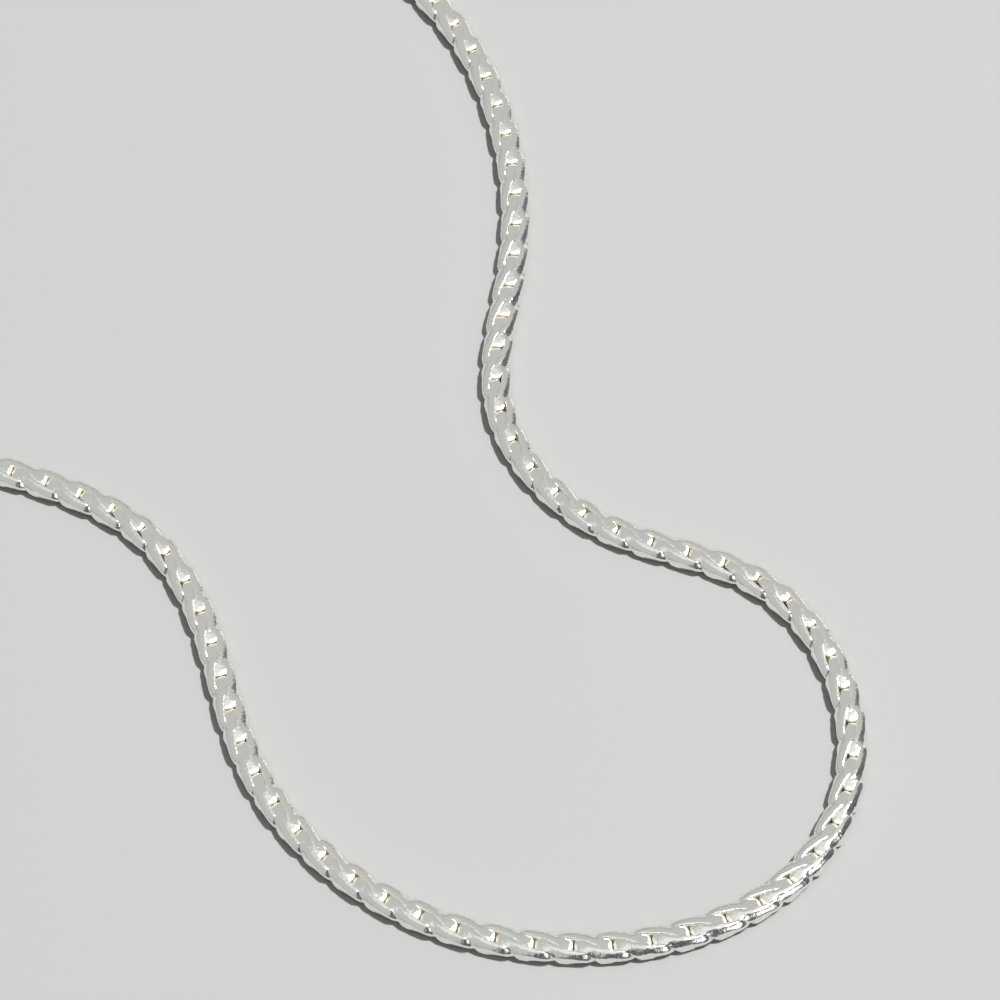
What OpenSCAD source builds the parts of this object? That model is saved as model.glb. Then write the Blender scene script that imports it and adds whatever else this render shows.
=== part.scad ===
// Curb chain necklace, laid out in a double bend on a flat surface.
// Every link is an oval ring of wire, twisted about its own length so that it nests
// between its two neighbours, and the chain is then pressed flat between rollers. Millimetres, Z up, resting on Z = 0.

/* [Necklace] */
// Links between the two end rings
link_count = 100; // [96:1:104]
// Width of the chain across its links
chain_width = 3.6; // [3.3:0.05:3.75]
// Size of the whole lay and pitch of the links, 1 is the 18 inch length
lay_scale = 1; // [0.96:0.01:1.1]

/* [Link, in parts of the link pitch] */
// Length of one link over its two tips
link_reach = 1.898; // [1.86:0.002:1.9]
// Wire at the tips, half of it measured through the link
tip_through = 0.128; // [0.1:0.002:0.128]
// Wire at the sides, half of it measured through the link
side_through = 0.207; // [0.18:0.003:0.207]
// Wire at the sides, half of it measured outwards
side_outer = 0.118; // [0.1:0.002:0.118]
// Height over the chain's middle from which the rollers press its wire
press_from = 0.21; // [0.2:0.01:0.4]
// Part of the height past that which the rollers leave
press_keep = 0.25; // [0.2:0.05:1]

/* [Clasp and rings] */
// Wire of the two end rings
ring_wire = 0.5; // [0.4:0.05:0.5]
// Opening of the end rings
ring_bore = 2.6; // [2.5:0.05:2.7]
// Lean of the end rings out of the flat
ring_lean = 29; // [28:1:30]
// Length of the barrel between its two eyes
barrel_len = 10; // [8:0.5:11]
// Wire of the two eyes on the barrel
eye_wire = 0.5; // [0.4:0.05:0.5]
// Opening of the eyes
eye_bore = 1.1; // [1:0.05:1.2]
// Place of the barrel's middle along the lay
clasp_at = 6; // [4:0.25:8]

/* [Output] */
// Which piece to draw

/* [Hidden] */
silver = [0.86, 0.86, 0.84];
bore_fn = 64;

// The lay: one row for each bend, the curve runs smoothly inside its rows.
X = 0;
Y = 1;
LAY = [ // [x, y]
    [-98, 45], [-98, 55], [-98, 65],            // straight past the clasp
    [-94.5, 75.5], [-86, 85], [-73, 90.5],      // round the back
    [-57, 92.5], [-39, 92], [-22, 86],
    [-4.5, 70], [2, 49.5], [2, 31.5],           // down the middle
    [-3.5, 12], [11, -6], [31, -7.5],           // first bend to the right
    [42.5, -25.5], [39, -46.5], [22, -57.5],    // round the right end
    [1.5, -58.5], [-16.5, -51.5],               // along the front
    [-30.5, -36], [-33.5, -16], [-43, 0],       // up the left side
    [-68, 6.5], [-83, 13], [-93, 23], [-98, 35] // back to the clasp
];

// Smooth closed curve through the lay (uniform cubic B-spline)
function lay_row(i) = LAY[(i + len(LAY)) % len(LAY)] * lay_scale;
function lay_point(i, t) = (pow(1 - t, 3) * lay_row(i - 1)
    + (3 * pow(t, 3) - 6 * t * t + 4) * lay_row(i)
    + (-3 * pow(t, 3) + 3 * t * t + 3 * t + 1) * lay_row(i + 1)
    + pow(t, 3) * lay_row(i + 2)) / 6;
lay_steps = 12;
lay_curve = [for (i = [0 : len(LAY) - 1], k = [0 : lay_steps - 1]) lay_point(i, k / lay_steps),
             lay_point(0, 0)];
lay_reach = [for (i = 0, s = 0; i < len(lay_curve);
                  i = i + 1, s = i < len(lay_curve) ? s + norm(lay_curve[i] - lay_curve[i - 1]) : s) s];
lay_len = lay_reach[len(lay_reach) - 1];
lay_x = [for (i = [0 : len(lay_curve) - 1]) [lay_reach[i], lay_curve[i][X]]];
lay_y = [for (i = [0 : len(lay_curve) - 1]) [lay_reach[i], lay_curve[i][Y]]];
function wrapped(s) = s - lay_len * floor(s / lay_len);
function lay_at(s) = [lookup(wrapped(s), lay_x), lookup(wrapped(s), lay_y)];

// One link about its own middle, untwisted, in pitches: a quarter of its wire ring by
// sections, each with its place, the way its outer side faces, its half sizes, and how
// far it is turned about the chain's own line
ALONG = 0;
OUT = 1;
FACING = 2;
OUTER = 3;
INNER = 4;
THROUGH = 5;
TURN = 6;
tip_outer = 0.154;
WIRE = [ // [along, out, facing, outer, inner, through, turn]
    [link_reach / 2 - tip_outer, 0, 0, tip_outer, 0.165, tip_through, 92],   // tip
    [0.790, 0.148, 49, 0.144, 0.142, 0.133, 79],                             // corner
    [0.503, 0.239, 90, side_outer + 0.012, 0.121, side_through - 0.032, 45], // shoulder
    [0.226, 0.297, 90, side_outer, 0.087, side_through, 12]                  // side
];
wire_sides = 5;
function mirrored(row, x, w) = [x * row[ALONG], w * row[OUT],
    x > 0 ? w * row[FACING] : 180 - w * row[FACING],
    row[OUTER], row[INNER], row[THROUGH], x * row[TURN]];
ring_rows = concat(
    [for (i = [0 : 3]) mirrored(WIRE[i], 1, 1)], [for (i = [3 : -1 : 1]) mirrored(WIRE[i], -1, 1)],
    [for (i = [0 : 3]) mirrored(WIRE[i], -1, -1)], [for (i = [3 : -1 : 1]) mirrored(WIRE[i], 1, -1)]);
ring_steps = len(ring_rows);
function wire_point(row, v) =
    let (rise = cos(v) * (cos(v) > 0 ? row[OUTER] : row[INNER]), thick = sin(v) * row[THROUGH],
         out = row[OUT] + rise * sin(row[FACING]), t = row[TURN])
    [row[ALONG] + rise * cos(row[FACING]), out * cos(t) - thick * sin(t), out * sin(t) + thick * cos(t)];
function pressed(p) = [p[0], p[1], sign(p[2]) *
    (min(abs(p[2]), press_from) + max(abs(p[2]) - press_from, 0) * press_keep)];
ring_points = [for (row = ring_rows, j = [0 : wire_sides - 1])
    pressed(wire_point(row, 360 * j / wire_sides))];

// Clasp end, measured from the middle of the last link towards the barrel
unit = chain_width / (2 * max([for (p = ring_points) p[1]]));
tip_hole = WIRE[0][ALONG] - WIRE[0][INNER] * cos(180 / wire_sides);
ring_r = (ring_bore + ring_wire) / 2;
ring_mid = tip_hole * unit - ring_wire / 2 - 0.4 + ring_r;
eye_r = (eye_bore + eye_wire) / 2;
eye_mid = ring_mid + ring_r - ring_wire / 2 - 0.13 - eye_wire / 2 + eye_r;
barrel_from = eye_mid + eye_r - eye_wire / 2 + 0.05;
clasp_half = barrel_from + barrel_len / 2;
pitch = (lay_len - 2 * clasp_half) / (link_count - 1);

// The same link in millimetres, joined to a closed ring of faces
link_points = [for (p = ring_points) [p[0] * pitch, p[1] * unit, p[2] * unit]];
function ring_index(i, j) = (i % ring_steps) * wire_sides + j % wire_sides;
link_faces = [for (i = [0 : ring_steps - 1], j = [0 : wire_sides - 1], h = [0, 1])
    h == 0 ? [ring_index(i, j), ring_index(i, j + 1), ring_index(i + 1, j + 1)]
           : [ring_index(i, j), ring_index(i + 1, j + 1), ring_index(i + 1, j)]];
lift = -min([for (p = link_points) p[2]]);

// A link lies along the chord of its own stretch of the lay
function link_from(i) = lay_at(clasp_at + clasp_half + (i - 0.5) * pitch);
function link_mid(i) = (link_from(i) + link_from(i + 1)) / 2;
function link_turn(i) = let (d = link_from(i + 1) - link_from(i)) atan2(d[Y], d[X]);
all_mids = [for (i = [0 : link_count - 1]) concat(link_mid(i), [link_turn(i)])];
all_x = [for (m = all_mids, p = link_points) m[0] + p[0] * cos(m[2]) - p[1] * sin(m[2])];
all_y = [for (m = all_mids, p = link_points) m[1] + p[0] * sin(m[2]) + p[1] * cos(m[2])];
centre = [(min(all_x) + max(all_x)) / 2, (min(all_y) + max(all_y)) / 2, 0];

module link(i) {
    m = all_mids[i];
    translate([m[0], m[1], lift] - centre) rotate([0, 0, m[2]])
        polyhedron(points = link_points, faces = link_faces, convexity = 6);
}

module links(from, to) {
    color(silver) for (i = [from : to]) link(i);
}

// Moves a piece of the clasp end from its own line onto the lay; end is 1 or -1
module at_clasp(end) {
    mid = lay_at(clasp_at);
    ahead = lay_at(clasp_at + clasp_half) - lay_at(clasp_at - clasp_half);
    translate([mid[X], mid[Y], lift] - centre)
        rotate([0, 0, atan2(ahead[Y], ahead[X]) + (end > 0 ? 180 : 0)])
            translate([-clasp_half, 0, 0]) children();
}

module wire_ring(radius, wire) {
    rotate_extrude($fn = bore_fn) translate([radius, 0]) circle(d = wire, $fn = 32);
}

module end_ring(end) {
    color(silver) at_clasp(end) translate([ring_mid, 0, 0])
        rotate([-ring_lean, 0, 0]) wire_ring(ring_r, ring_wire);
}

module eye() {
    translate([eye_mid, 0, 0]) rotate([90 - ring_lean, 0, 0]) wire_ring(eye_r, eye_wire);
}

module chain_upper() {
    links(0, floor(link_count / 2) - 1);
}

module chain_lower() {
    links(floor(link_count / 2), link_count - 1);
}

module end_ring_upper() {
    end_ring(1);
}

module end_ring_lower() {
    end_ring(-1);
}

module clasp() {
    r = lift;
    edge = 0.5;
    color(silver) {
        at_clasp(1) translate([barrel_from, 0, 0]) rotate([0, 90, 0])
            rotate_extrude($fn = bore_fn) polygon([
                [0, 0], [r - edge, 0], [r, edge], [r, barrel_len / 2 - 0.15],
                [r - 0.15, barrel_len / 2], [r, barrel_len / 2 + 0.15],
                [r, barrel_len - edge], [r - edge, barrel_len], [0, barrel_len]]);
        at_clasp(1) eye();
        at_clasp(-1) eye();
    }
}

chain_upper();
chain_lower();
end_ring_upper();
end_ring_lower();
clasp();
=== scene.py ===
import math

import bmesh
import bpy
from mathutils import Matrix, Vector


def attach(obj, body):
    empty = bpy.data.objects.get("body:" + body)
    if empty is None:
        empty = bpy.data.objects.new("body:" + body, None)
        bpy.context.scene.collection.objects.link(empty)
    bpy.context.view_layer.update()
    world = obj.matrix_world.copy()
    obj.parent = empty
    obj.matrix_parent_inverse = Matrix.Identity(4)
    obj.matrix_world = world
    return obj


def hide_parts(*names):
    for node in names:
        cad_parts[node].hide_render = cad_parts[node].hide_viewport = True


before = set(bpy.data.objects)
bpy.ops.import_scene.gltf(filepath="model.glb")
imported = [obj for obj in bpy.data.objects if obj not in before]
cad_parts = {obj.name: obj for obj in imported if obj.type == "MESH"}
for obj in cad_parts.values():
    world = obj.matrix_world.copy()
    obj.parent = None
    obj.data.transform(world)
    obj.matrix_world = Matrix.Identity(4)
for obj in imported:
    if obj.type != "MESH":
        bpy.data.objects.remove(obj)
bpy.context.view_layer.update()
scene = bpy.context.scene
nodes = {o.name: o for o in bpy.data.objects if o.type == "MESH"}

# The view: a long lens looks down at the laid-out chain at about sixty degrees. The
# point it aims at lies a little above the surface, at the height of the links' openings.
VIEW_RISE = math.radians(60.6)
VIEW_DISTANCE = 0.5715
LENS_LENGTH = 173.7
SENSOR_WIDTH = 36
CLIP_NEAR = 0.01
CLIP_FAR = 20
aim = Vector((0.02853, -0.01739, 0.0020))
to_camera = Vector((0, -math.cos(VIEW_RISE), math.sin(VIEW_RISE)))
lens = bpy.data.cameras.new("long_lens")
lens.sensor_width = SENSOR_WIDTH
lens.lens = LENS_LENGTH
lens.clip_start = CLIP_NEAR
lens.clip_end = CLIP_FAR
camera = bpy.data.objects.new("long_lens", lens)
camera.location = aim + to_camera * VIEW_DISTANCE
camera.rotation_euler = (math.pi / 2 - VIEW_RISE, 0, 0)
scene.collection.objects.link(camera)
scene.camera = camera
scene.view_settings.view_transform = "Standard"

# The table: one smooth pale warm-grey sheet, matt, with no seam or edge near the chain.
# It is only the place that the chain lies on and no part of it.
SHEET_GREY = (0.291, 0.2906, 0.2843, 1)
SHEET_ROUGHNESS = 0.85
SHEET_REACH = 3
sheet = bmesh.new()
bmesh.ops.create_grid(sheet, x_segments=1, y_segments=1, size=SHEET_REACH)
sheet_mesh = bpy.data.meshes.new("table_sheet")
sheet.to_mesh(sheet_mesh)
sheet.free()
table_sheet = bpy.data.objects.new("table_sheet", sheet_mesh)
scene.collection.objects.link(table_sheet)
sheet_paper = bpy.data.materials.new("matt_sheet")
sheet_paper.use_nodes = True
paper = sheet_paper.node_tree.nodes["Principled BSDF"]
paper.inputs["Base Color"].default_value = SHEET_GREY
paper.inputs["Roughness"].default_value = SHEET_ROUGHNESS
sheet_mesh.materials.append(sheet_paper)

# The light: a pale cloth tent behind and to the left, paler overhead, with a window at
# the back on the right. On the viewer's right it is open to a dark room full of things,
# with a white card before it. One bright panel high up draws the narrow shadow.
ROOM_DARK = (0.045, 0.045, 0.05, 1)
ROOM_PALE = (0.26, 0.26, 0.275, 1)
THINGS_SCALE = 11
THINGS_DETAIL = 3
THINGS_FADE = (0.40, 0.62)  # a fade runs from its first value to its second
ROOM_WAY = (0.8, -0.6, 0)
ROOM_FADE = (0.36, 0.24)
LOW_GAP_WAY = (0.8, 0.1, -1)
LOW_GAP_FADE = (0.52, 0.40)
CLOTH_LOW = (0.40, 0.41, 0.405, 1)
CLOTH_HIGH = (0.54, 0.55, 0.535, 1)
CLOTH_FADE = (0.02, 0.5)
OVERHEAD = (0.87, 0.87, 0.85, 1)
OVERHEAD_FADE = (0.89, 1.0)
WINDOW = (0.95, 0.95, 0.935, 1)
WINDOW_WAY = (0.60, 0.80, 0.05)
WINDOW_FADE = (0.972, 0.990)
CARD = (1.35, 1.35, 1.32, 1)
CARD_WAY = (0.62, -0.47, 0.63)
CARD_FADE = (0.925, 0.985)
PANEL_PLACE = (0.92, 0.10, 2.26)
PANEL_SIDE = 0.16
PANEL_WATTS = 104
tent = bpy.data.worlds.new("light_tent")
scene.world = tent
tent.use_nodes = True
t_nodes, t_links = tent.node_tree.nodes, tent.node_tree.links
where = t_nodes.new("ShaderNodeTexCoord")
split = t_nodes.new("ShaderNodeSeparateXYZ")
t_links.new(where.outputs["Generated"], split.inputs[0])
height = split.outputs["Z"]


def fade(source, dark_at, light_at):
    """From 0 at dark_at to 1 at light_at, softly."""
    ramp = t_nodes.new("ShaderNodeMapRange")
    ramp.interpolation_type = "SMOOTHSTEP"
    ramp.inputs["From Min"].default_value = dark_at
    ramp.inputs["From Max"].default_value = light_at
    t_links.new(source, ramp.inputs["Value"])
    return ramp.outputs["Result"]


def toward(way):
    """How far a direction points the given way."""
    dot = t_nodes.new("ShaderNodeVectorMath")
    dot.operation = "DOT_PRODUCT"
    dot.inputs[1].default_value = way
    t_links.new(where.outputs["Generated"], dot.inputs[0])
    return dot.outputs["Value"]


def laid_over(under, over, amount):
    """One tone laid over another, each a colour or the end of another node."""
    mix = t_nodes.new("ShaderNodeMix")
    mix.data_type = "RGBA"
    for side, tone in (("A", under), ("B", over)):
        if isinstance(tone, tuple):
            mix.inputs[side].default_value = tone
        else:
            t_links.new(tone, mix.inputs[side])
    t_links.new(amount, mix.inputs["Factor"])
    return mix.outputs["Result"]


things = t_nodes.new("ShaderNodeTexNoise")
things.inputs["Scale"].default_value = THINGS_SCALE
things.inputs["Detail"].default_value = THINGS_DETAIL
t_links.new(where.outputs["Generated"], things.inputs["Vector"])
room = laid_over(ROOM_DARK, ROOM_PALE, fade(things.outputs["Fac"], *THINGS_FADE))
cloth = laid_over(CLOTH_LOW, CLOTH_HIGH, fade(height, *CLOTH_FADE))
lit = t_nodes.new("ShaderNodeMath")
lit.operation = "MULTIPLY"
t_links.new(fade(toward(ROOM_WAY), *ROOM_FADE), lit.inputs[0])
t_links.new(fade(toward(LOW_GAP_WAY), *LOW_GAP_FADE), lit.inputs[1])
around = laid_over(room, cloth, lit.outputs["Value"])
around = laid_over(around, OVERHEAD, fade(height, *OVERHEAD_FADE))
around = laid_over(around, WINDOW, fade(toward(WINDOW_WAY), *WINDOW_FADE))
around = laid_over(around, CARD, fade(toward(CARD_WAY), *CARD_FADE))
t_links.new(around, t_nodes["Background"].inputs["Color"])
panel_light = bpy.data.lights.new("key_panel", "AREA")
panel_light.shape = "SQUARE"
panel_light.size = PANEL_SIDE
panel_light.energy = PANEL_WATTS
key_panel = bpy.data.objects.new("key_panel", panel_light)
key_panel.location = PANEL_PLACE
key_panel.rotation_euler = (aim - Vector(PANEL_PLACE)).to_track_quat("-Z", "Y").to_euler()
scene.collection.objects.link(key_panel)

# The links: each one is a ring of silver wire, pressed flat at the sides, bent to an
# oval, soldered shut and twisted a quarter turn for each pitch, so that it nests in its
# neighbours. Their places are read from the solids, one loose link at a time.
LINK_PITCH = 0.00442  # metres, and the link's other sizes are in parts of it
WIRE = [  # a quarter of the ring: along, aside, high, facing, lean, outer, inner, through
    (0.800, 0.000, 0.000, 0, 90, 0.192, 0.215, 0.172),  # the tip
    (0.800, 0.000, 0.100, 12, 90, 0.190, 0.200, 0.178),  # the end of the tip
    (0.800, 0.005, 0.150, 42, 88, 0.198, 0.175, 0.185),  # its edge
    (0.690, 0.045, 0.175, 80, 76, 0.150, 0.175, 0.185),  # the corner
    (0.520, 0.150, 0.140, 88, 35, 0.135, 0.175, 0.190),  # the shoulder
    (0.345, 0.258, 0.070, 90, 12, 0.124, 0.175, 0.275),  # the side's end
    (0.130, 0.285, 0.028, 90, 6, 0.112, 0.165, 0.285),  # the side
]
FACING = 3  # the facing angle's place in a row
STEPS_PER_ROW = 2
WIRE_SIDES = 24
WIRE_SQUARENESS = 3.2
RING_RADIUS = 3  # of the round ring that is bent, in half thicknesses of its wire
ROLLED_HEIGHT = 0.245  # half the height that the rollers leave
ROLLED_CROWN = 0.28  # how much that falls to the two edges
TIP_FALL = 0.15  # how much it falls to the two tips,
TIP_FALL_FROM = 0.30  # and how far along the link the fall starts
ROLLED_OVER = 0.06  # part of the wire's own roundness that is left above it
BEVEL_TILT = math.radians(37)  # slope of the facet along both edges
BEVEL_AT = 0.344  # how far out it lies at the link's middle
BEVEL_CURVE = 0.27  # how it bends in towards the tips,
BEVEL_CURVE_TO = 0.5  # and how far along the link the bend ends
BEVEL_EASE = 0.15  # how it runs straight in past the bend,
BEVEL_EASE_FROM = 0.6  # and how far along that starts
BEVEL_OVER = 0.15  # part of the wire's own roundness that is left above it
TIP_NOOK_FROM = 0.91  # how far along the hidden ends of the tips start
TIP_NOOK_FADE = 0.04
MERGE_WITHIN = 1e-6
SILVER = (0.93, 0.925, 0.905, 1)
CLOUD_SCALE = 900
CLOUD_DETAIL = 3
DENT_SCALE = 2700
DENT_DETAIL = 2
DENT_STRENGTH = 0.9
DENT_DEPTH = 0.00005
POLISHED = (0.045, 0.10)  # the least and the most roughness in its clouds
NOOK_SHADE_BEIGE = (0.90, 0.855, 0.755, 1)  # painted shade: a warmer, darker tint for the recesses
NOOK_SHADE_FROM = 0.28
NOOK_SHADE_TO = 0.85
NOOK_DULL_FROM = 0.3  # how deep in the nook its skin turns dull
NOOK_DULLER = 0.45  # roughness added at the bottom


def signed_power(v, p):
    """A power of the size of v, with v's own sign."""
    return math.copysign(abs(v) ** p, v)


def whole_ring():
    """The quarter's rows mirrored twice, all the way round the link."""
    quarter, mirrored = WIRE, WIRE[:0:-1]
    rows = list(quarter)
    for along, aside, high, facing, lean, *sizes in mirrored:
        rows.append((-along, aside, -high, 180 - facing, -lean, *sizes))
    for along, aside, high, facing, lean, *sizes in quarter:
        rows.append((-along, -aside, high, 180 + facing, -lean, *sizes))
    for along, aside, high, facing, lean, *sizes in mirrored:
        rows.append((along, -aside, -high, 360 - facing, lean, *sizes))
    return rows


def between(rows, at):
    """A row at any place round the ring, on smooth curves through the rows."""
    first, t = math.floor(at), at - math.floor(at)
    near = [list(rows[(first + k) % len(rows)]) for k in (-1, 0, 1, 2)]
    for k in (1, 2, 3):  # the facing angle runs on past a full turn
        while near[k][FACING] < near[k - 1][FACING] - 180:
            near[k][FACING] += 360
    return [
        0.5 * (2 * b + (c - a) * t + (2 * a - 5 * b + 4 * c - d) * t * t
               + (3 * b - a - 3 * c + d) * t**3)
        for a, b, c, d in zip(*near)
    ]


def bent_wire(bm):
    """One link about its own middle, from a round ring of wire that is then bent."""
    rows = whole_ring()
    steps = len(rows) * STEPS_PER_ROW
    loop = bmesh.ops.create_circle(bm, segments=WIRE_SIDES, radius=1)["verts"]
    bmesh.ops.rotate(bm, verts=loop, matrix=Matrix.Rotation(math.pi / 2, 3, "X"))
    bmesh.ops.translate(bm, verts=loop, vec=(RING_RADIUS, 0, 0))
    bmesh.ops.spin(bm, geom=bm.verts[:] + bm.edges[:], axis=(0, 0, 1), cent=(0, 0, 0),
                   angle=2 * math.pi, steps=steps, use_merge=True)
    nook = bm.verts.layers.float.new("nook")
    for v in bm.verts:
        step = round(math.atan2(v.co.y, v.co.x) / (2 * math.pi) * steps) % steps
        outward, through = math.hypot(v.co.x, v.co.y) - RING_RADIUS, v.co.z
        turn = round(math.atan2(through, outward) / (2 * math.pi) * WIRE_SIDES) % WIRE_SIDES
        v.index = step * WIRE_SIDES + turn
        along, side, high, facing, lean, outer, inner, thick = between(rows, step / STEPS_PER_ROW)
        facing, lean = math.radians(facing), math.radians(lean)
        rise = signed_power(outward, 2 / WIRE_SQUARENESS) * (outer if outward > 0 else inner)
        thick *= signed_power(through, 2 / WIRE_SQUARENESS)
        out = rise * math.sin(facing)
        along += rise * math.cos(facing)
        side += out * math.cos(lean) - thick * math.sin(lean)
        high += out * math.sin(lean) + thick * math.cos(lean)

        # the rollers press it flat
        limit = ROLLED_HEIGHT - ROLLED_CROWN * side**2
        limit -= TIP_FALL * max(0.0, abs(along) - TIP_FALL_FROM) ** 2
        over = max(0.0, abs(high) - limit)
        high -= math.copysign(over * (1 - ROLLED_OVER), high)

        # and its two edges are rubbed to facets
        cut = abs(side) * math.sin(BEVEL_TILT) + abs(high) * math.cos(BEVEL_TILT)
        cut -= BEVEL_AT - BEVEL_CURVE * min(abs(along), BEVEL_CURVE_TO) ** 2
        cut -= BEVEL_EASE * max(0.0, abs(along) - BEVEL_EASE_FROM)
        cut = max(0.0, cut) * (1 - BEVEL_OVER)
        side -= math.copysign(cut * math.sin(BEVEL_TILT), side)
        high -= math.copysign(cut * math.cos(BEVEL_TILT), high)
        v.co = Vector((along, side, high)) * LINK_PITCH

        # the inner side of the wire and the hidden tips keep a duller skin, and take a painted
        # shade tint
        tip_end = (abs(along) - TIP_NOOK_FROM) / TIP_NOOK_FADE
        v[nook] = max(0.0, -outward, min(1.0, tip_end))

    # spin leaves its faces in another order each run, so they are sorted round the ring
    for face in bm.faces:
        corners = [v.index for v in face.verts]
        face.index = min(corners) * len(bm.verts) + max(corners)
    bm.verts.sort()
    bm.faces.sort()
    bmesh.ops.recalc_face_normals(bm, faces=bm.faces)


def link_places(node):
    """Middle and direction of each loose link in a chain solid."""
    bm = bmesh.new()
    bm.from_mesh(node.data)
    bmesh.ops.remove_doubles(bm, verts=bm.verts, dist=MERGE_WITHIN)
    met, places = set(), []
    for start in bm.verts:
        if start in met:
            continue
        met.add(start)
        todo, found = [start], []
        while todo:
            v = todo.pop()
            found.append(v.co)
            for e in v.link_edges:
                w = e.other_vert(v)
                if w not in met:
                    met.add(w)
                    todo.append(w)
        mid = sum(found, Vector()) / len(found)
        xx = sum((p.x - mid.x) ** 2 - (p.y - mid.y) ** 2 for p in found)
        xy = sum((p.x - mid.x) * (p.y - mid.y) for p in found)
        places.append((mid, math.atan2(2 * xy, xx) / 2))
    bm.free()
    return places


def polished_silver(name, bright, dull):
    """Silver with faint clouds in its gloss and fine dents, in nodes gloss and dents."""
    silver = bpy.data.materials.new(name)
    silver.use_nodes = True
    n, k = silver.node_tree.nodes, silver.node_tree.links
    shade = n["Principled BSDF"]
    shade.inputs["Metallic"].default_value = 1
    shade.inputs["Base Color"].default_value = SILVER
    coords = n.new("ShaderNodeTexCoord")
    cloud = n.new("ShaderNodeTexNoise")
    cloud.inputs["Scale"].default_value = CLOUD_SCALE
    cloud.inputs["Detail"].default_value = CLOUD_DETAIL
    k.new(coords.outputs["Object"], cloud.inputs["Vector"])
    gloss = n.new("ShaderNodeMapRange")
    gloss.name = "gloss"
    gloss.inputs["To Min"].default_value = bright
    gloss.inputs["To Max"].default_value = dull
    k.new(cloud.outputs["Fac"], gloss.inputs["Value"])
    k.new(gloss.outputs["Result"], shade.inputs["Roughness"])
    dent = n.new("ShaderNodeTexNoise")
    dent.inputs["Scale"].default_value = DENT_SCALE
    dent.inputs["Detail"].default_value = DENT_DETAIL
    k.new(coords.outputs["Object"], dent.inputs["Vector"])
    dents = n.new("ShaderNodeBump")
    dents.name = "dents"
    dents.inputs["Strength"].default_value = DENT_STRENGTH
    dents.inputs["Distance"].default_value = DENT_DEPTH
    k.new(dent.outputs["Fac"], dents.inputs["Height"])
    k.new(dents.outputs["Normal"], shade.inputs["Normal"])
    return silver


link_finish = polished_silver("polished_link_silver", *POLISHED)
l_nodes, l_links = link_finish.node_tree.nodes, link_finish.node_tree.links
in_nook = l_nodes.new("ShaderNodeAttribute")
in_nook.attribute_name = "nook"
unpolished = l_nodes.new("ShaderNodeMapRange")
unpolished.inputs["From Min"].default_value = NOOK_DULL_FROM
unpolished.inputs["To Max"].default_value = NOOK_DULLER
l_links.new(in_nook.outputs["Fac"], unpolished.inputs["Value"])
duller = l_nodes.new("ShaderNodeMath")
duller.operation = "ADD"
l_links.new(l_nodes["gloss"].outputs["Result"], duller.inputs[0])
l_links.new(unpolished.outputs["Result"], duller.inputs[1])
l_links.new(duller.outputs["Value"], l_nodes["Principled BSDF"].inputs["Roughness"])
# painted shade: the nooks turn from silver to a warmer, darker beige
painted_nook_shade = l_nodes.new("ShaderNodeValToRGB")
painted_nook_shade.color_ramp.elements[0].position = NOOK_SHADE_FROM
painted_nook_shade.color_ramp.elements[0].color = SILVER
painted_nook_shade.color_ramp.elements[1].position = NOOK_SHADE_TO
painted_nook_shade.color_ramp.elements[1].color = NOOK_SHADE_BEIGE
l_links.new(in_nook.outputs["Fac"], painted_nook_shade.inputs["Fac"])
l_links.new(painted_nook_shade.outputs["Color"], l_nodes["Principled BSDF"].inputs["Base Color"])
one_link = bmesh.new()
bent_wire(one_link)
link_mesh = bpy.data.meshes.new("one_link")
one_link.to_mesh(link_mesh)
one_link.free()
for node_name in ("chain_upper", "chain_lower"):
    run = bmesh.new()
    for mid, heading in link_places(nodes[node_name]):
        before = len(run.verts)
        run.from_mesh(link_mesh)
        run.verts.ensure_lookup_table()
        added = run.verts[before:]
        bmesh.ops.transform(run, verts=added,
                            matrix=Matrix.Translation(mid) @ Matrix.Rotation(heading, 4, "Z"))
    for face in run.faces:
        face.smooth = True
    run_mesh = bpy.data.meshes.new(node_name + "_links")
    run.to_mesh(run_mesh)
    run.free()
    run_mesh.materials.append(link_finish)
    links = bpy.data.objects.new(node_name + "_links", run_mesh)
    scene.collection.objects.link(links)
    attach(links, "root")
    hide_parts(node_name)
bpy.data.meshes.remove(link_mesh)

# The end rings: round silver wire bent to a ring and soldered shut, one at each end of
# the chain. They are rubbed by the clasp, so their gloss is a little duller.
RUBBED = (0.14, 0.26)
ring_finish = polished_silver("rubbed_ring_silver", *RUBBED)
for node_name in ("end_ring_upper", "end_ring_lower"):
    ring = nodes[node_name]
    ring.data.materials.clear()
    ring.data.materials.append(ring_finish)

# The clasp: a small barrel turned from silver rod, with a wire eye soldered to each end.
# Its skin keeps the fine rings that the turning left round it.
TURNED = (0.1, 0.2)
LATHE_SCALE = 2600  # about eight rings in a millimetre
LATHE_WAVER = 0.6
LATHE_STRENGTH = 0.3
LATHE_DEPTH = 0.000006
barrel_finish = polished_silver("turned_clasp_silver", *TURNED)
b_nodes, b_links = barrel_finish.node_tree.nodes, barrel_finish.node_tree.links
barrel_place = b_nodes.new("ShaderNodeTexCoord")
lathe = b_nodes.new("ShaderNodeTexWave")
lathe.bands_direction = "Y"
lathe.inputs["Scale"].default_value = LATHE_SCALE
lathe.inputs["Distortion"].default_value = LATHE_WAVER
b_links.new(barrel_place.outputs["Object"], lathe.inputs["Vector"])
turned = b_nodes.new("ShaderNodeBump")
turned.inputs["Strength"].default_value = LATHE_STRENGTH
turned.inputs["Distance"].default_value = LATHE_DEPTH
b_links.new(lathe.outputs["Fac"], turned.inputs["Height"])
b_links.new(b_nodes["dents"].outputs["Normal"], turned.inputs["Normal"])
b_links.new(turned.outputs["Normal"], b_nodes["Principled BSDF"].inputs["Normal"])
clasp = nodes["clasp"]
clasp.data.materials.clear()
clasp.data.materials.append(barrel_finish)
